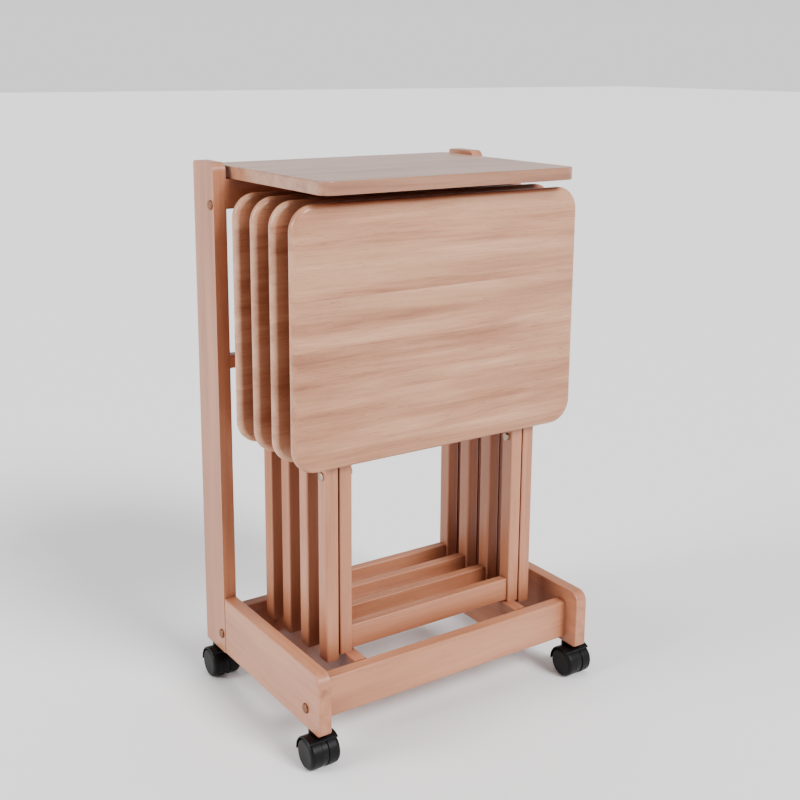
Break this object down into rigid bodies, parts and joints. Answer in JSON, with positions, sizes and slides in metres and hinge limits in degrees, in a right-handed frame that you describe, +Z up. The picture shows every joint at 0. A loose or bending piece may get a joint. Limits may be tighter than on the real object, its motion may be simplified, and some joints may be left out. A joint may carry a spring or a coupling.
{
  "type": "folding_tray_table_set",
  "caption": "Folding wooden tray tables stored upright in a rolling wooden stand with a small top shelf and twin-wheel casters.",
  "frame": {"origin": "on the floor, under the centre of the bounding box", "axes": "+Z up, -Y is the front where the tray faces look out, +X to the right seen from the front"},
  "size_m": [0.506, 0.354, 0.801],
  "materials": {
    "tray_wood": "satin_varnish",
    "frame_wood": "satin_varnish",
    "black_plastic": "moulded",
    "wheel_plastic": "moulded",
    "steel": "zinc_plated",
    "bronze": "antiqued"
  },
  "bodies": {
    "stand": {"back_board": "frame_wood", "barrel_nuts": "steel", "frame_bolts": "bronze", "front_board": "frame_wood", "left_floor_rail": "frame_wood", "left_post": "frame_wood", "left_side_board": "frame_wood", "mid_rail": "frame_wood", "right_floor_rail": "frame_wood", "right_post": "frame_wood", "right_side_board": "frame_wood", "top_board": "frame_wood", "upper_rail": "frame_wood"},
    "caster_front_left_swivel": {"caster_front_left_housing": "black_plastic", "caster_front_left_axle": "steel"},
    "caster_front_left_wheelset": {"caster_front_left_wheels": "wheel_plastic"},
    "caster_front_right_swivel": {"caster_front_right_housing": "black_plastic", "caster_front_right_axle": "steel"},
    "caster_front_right_wheelset": {"caster_front_right_wheels": "wheel_plastic"},
    "caster_back_left_swivel": {"caster_back_left_housing": "black_plastic", "caster_back_left_axle": "steel"},
    "caster_back_left_wheelset": {"caster_back_left_wheels": "wheel_plastic"},
    "caster_back_right_swivel": {"caster_back_right_housing": "black_plastic", "caster_back_right_axle": "steel"},
    "caster_back_right_wheelset": {"caster_back_right_wheels": "wheel_plastic"},
    "table_1_carrier": {"table_1_pivot_bolts": "steel"},
    "table_1_outer": {"table_1_outer_legs": "frame_wood", "table_1_hinge_pins": "frame_wood"},
    "table_1_inner": {"table_1_inner_legs": "frame_wood", "table_1_stretcher": "frame_wood"},
    "table_1_slider": {"table_1_crossbar": "frame_wood"},
    "table_1_top": {"table_1_tray": "tray_wood", "table_1_battens": "frame_wood"},
    "table_2": {"table_2_battens": "frame_wood", "table_2_crossbar": "frame_wood", "table_2_hinge_pins": "frame_wood", "table_2_inner_legs": "frame_wood", "table_2_outer_legs": "frame_wood", "table_2_pivot_bolts": "steel", "table_2_stretcher": "frame_wood", "table_2_tray": "tray_wood"},
    "table_3": {"table_3_battens": "frame_wood", "table_3_crossbar": "frame_wood", "table_3_hinge_pins": "frame_wood", "table_3_inner_legs": "frame_wood", "table_3_outer_legs": "frame_wood", "table_3_pivot_bolts": "steel", "table_3_stretcher": "frame_wood", "table_3_tray": "tray_wood"},
    "table_4": {"table_4_battens": "frame_wood", "table_4_crossbar": "frame_wood", "table_4_hinge_pins": "frame_wood", "table_4_inner_legs": "frame_wood", "table_4_outer_legs": "frame_wood", "table_4_pivot_bolts": "steel", "table_4_stretcher": "frame_wood", "table_4_tray": "tray_wood"}
  },
  "joints": [
    {"name": "caster_front_left_turn", "type": "hinge", "parent": "stand", "child": "caster_front_left_swivel", "pos_m": [-0.23, -0.143, 0.03], "axis": [0, 0, 1], "continuous": true},
    {"name": "caster_front_left_roll", "type": "hinge", "parent": "caster_front_left_swivel", "child": "caster_front_left_wheelset", "pos_m": [-0.23, -0.1545, 0.0225], "axis": [1, 0, 0], "continuous": true},
    {"name": "caster_front_right_turn", "type": "hinge", "parent": "stand", "child": "caster_front_right_swivel", "pos_m": [0.23, -0.143, 0.03], "axis": [0, 0, 1], "continuous": true},
    {"name": "caster_front_right_roll", "type": "hinge", "parent": "caster_front_right_swivel", "child": "caster_front_right_wheelset", "pos_m": [0.23, -0.1545, 0.0225], "axis": [1, 0, 0], "continuous": true},
    {"name": "caster_back_left_turn", "type": "hinge", "parent": "stand", "child": "caster_back_left_swivel", "pos_m": [-0.23, 0.158, 0.03], "axis": [0, 0, 1], "continuous": true},
    {"name": "caster_back_left_roll", "type": "hinge", "parent": "caster_back_left_swivel", "child": "caster_back_left_wheelset", "pos_m": [-0.23, 0.1465, 0.0225], "axis": [1, 0, 0], "continuous": true},
    {"name": "caster_back_right_turn", "type": "hinge", "parent": "stand", "child": "caster_back_right_swivel", "pos_m": [0.23, 0.158, 0.03], "axis": [0, 0, 1], "continuous": true},
    {"name": "caster_back_right_roll", "type": "hinge", "parent": "caster_back_right_swivel", "child": "caster_back_right_wheelset", "pos_m": [0.23, 0.1465, 0.0225], "axis": [1, 0, 0], "continuous": true},
    {"name": "table_1_take_out", "type": "hinge", "parent": "stand", "child": "table_1_carrier", "pos_m": [0, -0.86774, -3.00101], "axis": [1, 0, 0], "range_deg": [0, 33.51]},
    {"name": "table_1_outer_legs_open", "type": "hinge", "parent": "table_1_carrier", "child": "table_1_outer", "pos_m": [0, -0.0885, 0.387], "axis": [1, 0, 0], "range_deg": [-58.51, 1]},
    {"name": "table_1_inner_legs_open", "type": "hinge", "parent": "table_1_carrier", "child": "table_1_inner", "pos_m": [0, -0.0885, 0.387], "axis": [1, 0, 0], "range_deg": [-13.98, 1]},
    {"name": "table_1_tray_swing", "type": "hinge", "parent": "table_1_inner", "child": "table_1_slider", "pos_m": [0, -0.0885, 0.7255], "axis": [1, 0, 0], "range_deg": [-111.53, 1]},
    {"name": "table_1_tray_slide", "type": "slide", "parent": "table_1_slider", "child": "table_1_top", "axis": [0, 0, 1], "range_m": [-0.001, 0.25235]},
    {"name": "table_2_lift", "type": "slide", "parent": "stand", "child": "table_2", "axis": [0, 0, 1], "range_m": [0, 0.012]},
    {"name": "table_3_lift", "type": "slide", "parent": "stand", "child": "table_3", "axis": [0, 0, 1], "range_m": [0, 0.012]},
    {"name": "table_4_lift", "type": "slide", "parent": "stand", "child": "table_4", "axis": [0, 0, 1], "range_m": [0, 0.012]}
  ],
  "couplings": [
    {"joint": "table_1_outer_legs_open", "follows": "table_1_take_out", "ratio": -1.7162},
    {"joint": "table_1_inner_legs_open", "follows": "table_1_take_out", "ratio": -0.38735},
    {"joint": "table_1_tray_swing", "follows": "table_1_take_out", "ratio": -3.2984},
    {"joint": "table_1_tray_slide", "follows": "table_1_take_out", "m_per_rad": 0.42975}
  ]
}
